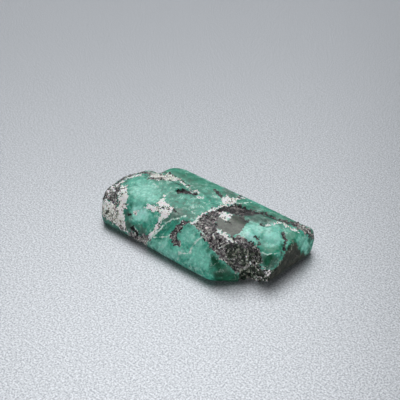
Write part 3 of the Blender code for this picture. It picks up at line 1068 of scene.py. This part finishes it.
def emeraldMaterial():
    material, tree, shader = newMaterial(
        "tumbled milky emerald in schist", IOR=emerald["ior"],
        Subsurface_Weight=emerald["milkiness"], Subsurface_Scale=emerald["milkDepth"],
        Specular_IOR_Level=emerald["polish"])
    shader.inputs["Subsurface Radius"].default_value = emerald["milkReach"]
    place = add(tree, "TexCoord").outputs["Object"]
    size, aside = emerald["wander"]
    wander = add(tree, "TexNoise", {"Vector": place, "Scale": perMetre(size), "Detail": 3.0})
    warped = add(tree, "VectorMath", {0: wander.outputs["Color"], 1: (aside * mm,) * 3, 2: place},
                 operation="MULTIPLY_ADD").outputs[0]

    cloud = add(tree, "TexNoise", {"Vector": place, "Scale": perMetre(emerald["cloudSize"]),
                                   "Detail": 3.0, "Roughness": 0.55}).outputs[0]
    colour = add(tree, "ValToRGB", {0: cloud}, emerald["cloud"]).outputs[0]
    marble = add(tree, "TexNoise", {"Vector": warped, "Scale": perMetre(emerald["marbleSize"]),
                                    "Detail": 6.0, "Roughness": 0.62}).outputs[0]
    for tint, start, full, share in (emerald["marbleDark"], emerald["marbleLight"]):
        streak = add(tree, "MapRange", {0: marble, 1: start, 2: full, 4: share}).outputs[0]
        colour = add(tree, "Mix", {0: streak, 6: colour, 7: linear(tint)},
                     data_type="RGBA").outputs[2]

    mottle = add(tree, "TexNoise", {"Vector": warped, "Scale": perMetre(emerald["mottleSize"]),
                                    "Detail": 4.0, "Roughness": 0.7}).outputs[0]
    dark, bright = emerald["mottle"]
    mottle = add(tree, "MapRange", {0: mottle, 1: 0.32, 2: 0.68, 3: dark, 4: bright}).outputs[0]

    # cracks: curving lines where a noise crosses its middle value, broken up by the marbling
    start, full, share = emerald["crackBroken"]
    broken = add(tree, "MapRange", {0: marble, 1: start, 2: full, 4: share}).outputs[0]
    for size in emerald["crackSizes"]:
        crossing = add(tree, "TexNoise", {"Vector": warped, "Scale": perMetre(size),
                                          "Detail": 3.5, "Roughness": 0.6}).outputs[0]
        crossing = add(tree, "Math", {0: crossing, 1: 0.5}, operation="SUBTRACT").outputs[0]
        crossing = add(tree, "Math", {0: crossing}, operation="ABSOLUTE").outputs[0]
        crack = add(tree, "MapRange", {0: crossing, 1: emerald["crackWidth"], 2: 0.0}).outputs[0]
        crack = add(tree, "Math", {0: crack, 1: broken}, operation="MULTIPLY").outputs[0]
        colour = add(tree, "Mix", {0: crack, 6: colour, 7: linear(emerald["crack"])},
                     data_type="RGBA").outputs[2]

    # dark specks of mica inside the emerald
    cell = add(tree, "TexVoronoi", {"Vector": warped, "Scale": perMetre(emerald["speckSize"])})
    lot = add(tree, "SeparateColor", {0: cell.outputs["Color"]}).outputs[0]
    start, full, share = emerald["specks"]
    chosen = add(tree, "MapRange", {0: lot, 1: start, 2: full, 4: share}).outputs[0]
    colour = add(tree, "Mix", {0: chosen, 6: colour, 7: linear(emerald["speck"])},
                 data_type="RGBA").outputs[2]

    # each mineral is laid over the ones before it, where its stored depth says
    faint = add(tree, "Math", {0: crack, 1: emerald["crackInPatches"]},
                operation="MULTIPLY").outputs[0]
    roughness = emerald["roughness"]
    height = marble
    for salt, (mineral, looks) in enumerate(minerals.items()):
        soft, uneven, size = looks["edge"]
        depth = add(tree, "Attribute", attribute_name=mineral).outputs["Fac"]
        fine = add(tree, "TexNoise", {"Vector": place, "W": 3.7 * salt, "Scale": perMetre(size),
                                      "Detail": 3.0}, noise_dimensions="4D").outputs[0]
        reached = add(tree, "Math", {0: fine, 1: 2.0 * uneven, 2: -uneven},
                      operation="MULTIPLY_ADD").outputs[0]
        reached = add(tree, "Math", {0: depth, 1: reached}, operation="ADD").outputs[0]
        mask = add(tree, "MapRange", {0: reached, 1: -soft, 2: soft},
                   interpolation_type="SMOOTHSTEP").outputs[0]
        if "grain" in looks:
            # one shade for each grain, drawn by lot, with the lots drifting from place to place
            cell = add(tree, "TexVoronoi", {"Vector": place, "Scale": perMetre(looks["grain"])})
            lot = add(tree, "SeparateColor", {0: cell.outputs["Color"]}).outputs[salt % 3]
            size, drift = clusters
            cluster = add(tree, "TexNoise", {"Vector": place, "Scale": perMetre(size)}).outputs[0]
            cluster = add(tree, "Math", {0: cluster, 1: drift, 2: -drift / 2},
                          operation="MULTIPLY_ADD").outputs[0]
            pattern = add(tree, "Math", {0: lot, 1: cluster}, operation="ADD").outputs[0]
            height = add(tree, "Mix", {0: mask, 2: height, 3: cell.outputs["Distance"]}).outputs[0]
        else:
            pattern = add(tree, "TexNoise", {"Vector": warped, "Detail": 5.0, "Roughness": 0.6,
                                             "Scale": perMetre(looks["size"])}).outputs[0]
        tint = add(tree, "ValToRGB", {0: pattern}, looks["shades"]).outputs[0]
        if "green" in looks:
            tint = add(tree, "Mix", {0: faint, 6: tint, 7: linear(emerald["crack"])},
                       data_type="RGBA").outputs[2]
        colour = add(tree, "Mix", {0: mask, 6: colour, 7: tint}, data_type="RGBA").outputs[2]
        roughness = add(tree, "Mix", {0: mask, 2: roughness, 3: looks["roughness"]}).outputs[0]
    colour = add(tree, "VectorMath", {0: colour, 1: mottle}, operation="MULTIPLY").outputs[0]
    tree.links.new(colour, shader.inputs["Base Color"])
    tree.links.new(roughness, shader.inputs["Roughness"])
    strength, distance = emerald["bump"]
    bumped = add(tree, "Bump", {"Strength": strength, "Distance": distance * mm, "Height": height})
    tree.links.new(bumped.outputs[0], shader.inputs["Normal"])
    return material


# Biotite splits into plates with a glassy, almost metallic flash.
mica = {
    "shades": [(0.0, "#141316"), (0.45, "#2C292D"), (0.75, "#5A5056"), (1.0, "#8D8688")],
    "roughness": 0.28,
    "ior": 1.60,
    "mottleSize": 0.15,     # mm
    "mottle": 0.3,
}

# Feldspar crumbs are chalky white to cream where they are weathered.
crumb = {
    "shades": [(0.0, "#696A68"), (0.35, "#8D8E8A"), (0.7, "#BBBCB6"), (1.0, "#E9EAE5")],
    "roughness": 0.55,
    "ior": 1.53,
    "mottleSize": 0.15,     # mm
    "mottle": 0.3,
}


def grainMaterial(name, looks):
    # one shade for each grain, mottled a little
    material, tree, shader = newMaterial(name, IOR=looks["ior"], Roughness=looks["roughness"])
    place = add(tree, "TexCoord").outputs["Object"]
    shade = add(tree, "Attribute", attribute_name="shade").outputs["Fac"]
    mottle = add(tree, "TexNoise", {"Vector": place, "Scale": perMetre(looks["mottleSize"])}).outputs[0]
    strength = looks["mottle"]
    mottled = add(tree, "Math", {0: mottle, 1: strength, 2: -strength / 2},
                  operation="MULTIPLY_ADD").outputs[0]
    both = add(tree, "Math", {0: shade, 1: mottled}, operation="ADD").outputs[0]
    tint = add(tree, "ValToRGB", {0: both}, looks["shades"]).outputs[0]
    tree.links.new(tint, shader.inputs["Base Color"])
    return material


stone.data.materials.append(emeraldMaterial())
micaPlates.data.materials.append(grainMaterial("split biotite mica", mica))
feldsparCrumbs.data.materials.append(grainMaterial("weathered feldspar", crumb))

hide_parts("emerald_crystal")
for piece in (stone, micaPlates, feldsparCrumbs):
    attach(piece, "root")
print("materials on")


# Floor and light

studio = {
    "floorSize": 1.6,            # m
    "floorLevel": -0.02,         # mm, just under the stone
    "floorGrain": 0.35,          # mm
    "floorShades": [(0.35, "#90949A"), (0.65, "#C6CACF")],
    "floorMetal": 0.30,          # the card's pearly skin
    "floorRoughness": 0.42,
    "world": "#DDE3EA",
    "horizon": 0.65,             # brightness of the pale walls
    "ceiling": 0.01,
    "wallTop": (0.15, 0.36),     # sine of the height at which the walls start to fade, and end
    # light: bearing and height in degrees, distance in m, width and height in m, watts
    "lights": {
        "overhead softbox": (97.0, 56.0, 0.80, (0.64, 0.64), 6.1),
        "front card": (-74.0, 10.0, 0.90, (1.20, 0.30), 3.4),
    },
}


def makeFloor():
    half = studio["floorSize"] / 2 / mm
    square = half * np.array([(-1, -1), (1, -1), (1, 1), (-1, 1)])
    corners = np.c_[square, np.full(4, studio["floorLevel"])]
    floor = newMesh("floor", corners, [[0, 1, 2, 3]], False)
    material, tree, shader = newMaterial("satin pearl card", Metallic=studio["floorMetal"],
                                         Roughness=studio["floorRoughness"])
    place = add(tree, "TexCoord").outputs["Object"]
    grain = add(tree, "TexNoise", {"Vector": place, "Scale": perMetre(studio["floorGrain"]),
                                   "Detail": 2.0}).outputs[0]
    tint = add(tree, "ValToRGB", {0: grain}, studio["floorShades"]).outputs[0]
    tree.links.new(tint, shader.inputs["Base Color"])
    floor.data.materials.append(material)


def makeLights():
    # bearing 0 is to the right of the view, 90 straight behind the stone, -90 in front of it
    right, up, forward = cameraAxes()
    ahead = np.cross([0.0, 0.0, 1.0], right)
    for name, (bearing, height, distance, size, power) in studio["lights"].items():
        turn = math.radians(bearing)
        lift = math.radians(height)
        level = math.cos(turn) * right + math.sin(turn) * ahead
        away = math.cos(lift) * level + math.sin(lift) * np.array([0.0, 0.0, 1.0])
        data = bpy.data.lights.new(name, "AREA")
        data.energy = power
        data.shape = "RECTANGLE"
        data.size, data.size_y = size
        light = bpy.data.objects.new(name, data)
        light.location = away * distance
        light.rotation_mode = "QUATERNION"
        light.rotation_quaternion = light.location.to_track_quat("Z", "Y")
        bpy.context.scene.collection.objects.link(light)


def makeWorld():
    world = bpy.data.worlds.new("studio")
    world.use_nodes = True
    tree = world.node_tree
    background = tree.nodes["Background"]
    background.inputs[0].default_value = linear(studio["world"])
    way = add(tree, "TexCoord").outputs["Generated"]
    height = add(tree, "SeparateXYZ", {0: way}).outputs[2]
    low, high = studio["wallTop"]
    glow = add(tree, "MapRange", {0: height, 1: low, 2: high, 3: studio["horizon"],
                                  4: studio["ceiling"]}, interpolation_type="SMOOTHSTEP")
    tree.links.new(glow.outputs[0], background.inputs[1])
    bpy.context.scene.world = world
    bpy.context.scene.view_settings.view_transform = "Standard"


makeFloor()
makeLights()
makeWorld()
print("floor and light ready")
